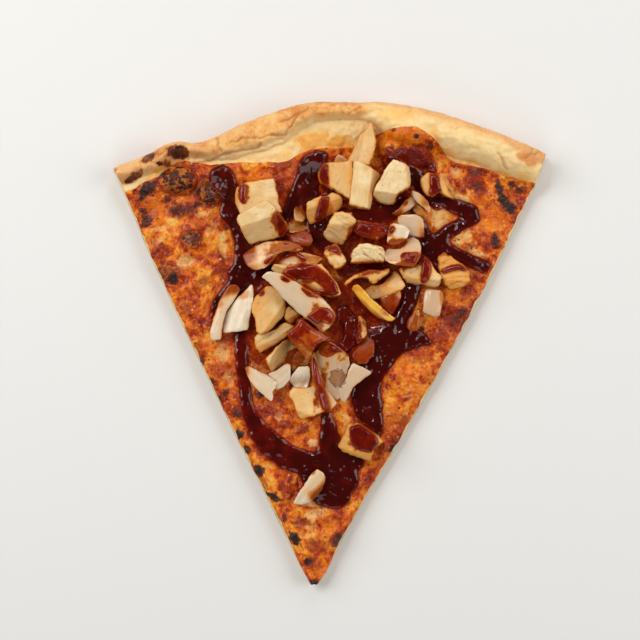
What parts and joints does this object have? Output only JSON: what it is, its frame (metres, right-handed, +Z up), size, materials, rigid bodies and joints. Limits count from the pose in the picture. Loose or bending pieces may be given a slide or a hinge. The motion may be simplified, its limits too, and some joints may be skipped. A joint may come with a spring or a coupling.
{
  "type": "bbq chicken pizza slice",
  "caption": "Triangular slice of barbecue chicken pizza: folded bread rim, browned cheese, diced chicken, sliced onion, a pepper strip and poured dark sauce",
  "frame": {"origin": "On the table plane under the centre of the slice's bounding box", "axes": "+Z up out of the toppings, +Y from the tip to the rim, +X to the right as seen from above with the rim at the top"},
  "size_m": [0.2046, 0.2288, 0.0238],
  "materials": {
    "bread": "baked dough, matt, tan with browned and charred spots",
    "cheese": "melted browned cheese, oily",
    "sauce": "thick glossy barbecue sauce, dark maroon, thin edges orange-brown",
    "chicken": "moist cooked chicken, cream with golden edges",
    "onion": "soft cooked onion, translucent cream",
    "pepper": "soft cooked yellow pepper, glossy"
  },
  "bodies": {
    "root": {"cheese": "cheese", "chicken_bar": "chicken", "chicken_brick": "chicken", "chicken_brown": "chicken", "chicken_corner": "chicken", "chicken_cube": "chicken", "chicken_fibre": "chicken", "chicken_flat": "chicken", "chicken_glazed": "chicken", "chicken_gold": "chicken", "chicken_leaf": "chicken", "chicken_left": "chicken", "chicken_low": "chicken", "chicken_nub": "chicken", "chicken_rough": "chicken", "chicken_sauced": "chicken", "chicken_shred": "chicken", "chicken_side": "chicken", "chicken_slant": "chicken", "chicken_sliver": "chicken", "chicken_square": "chicken", "chicken_tall": "chicken", "chicken_top": "chicken", "chicken_torn": "chicken", "chicken_torn_low": "chicken", "chicken_wedge": "chicken", "crust": "bread", "onion_arch": "onion", "onion_band": "onion", "onion_brown": "onion", "onion_brown_back": "onion", "onion_caramel": "onion", "onion_chip_back": "onion", "onion_chip_right": "onion", "onion_curl": "onion", "onion_dipped": "onion", "onion_edge": "onion", "onion_fan": "onion", "onion_flap": "onion", "onion_loop": "onion", "onion_lump": "onion", "onion_petal": "onion", "onion_pink": "onion", "onion_plate": "onion", "onion_round": "onion", "onion_sliver": "onion", "onion_stained": "onion", "onion_stained_mid": "onion", "onion_stained_right": "onion", "onion_strip": "onion", "onion_striped": "onion", "onion_tip": "onion", "onion_white": "onion", "onion_wide": "onion", "pepper_strip": "pepper", "sauce_back": "sauce", "sauce_left": "sauce", "sauce_side": "sauce", "sauce_tip": "sauce", "sauce_upper": "sauce"}
  },
  "joints": []
}
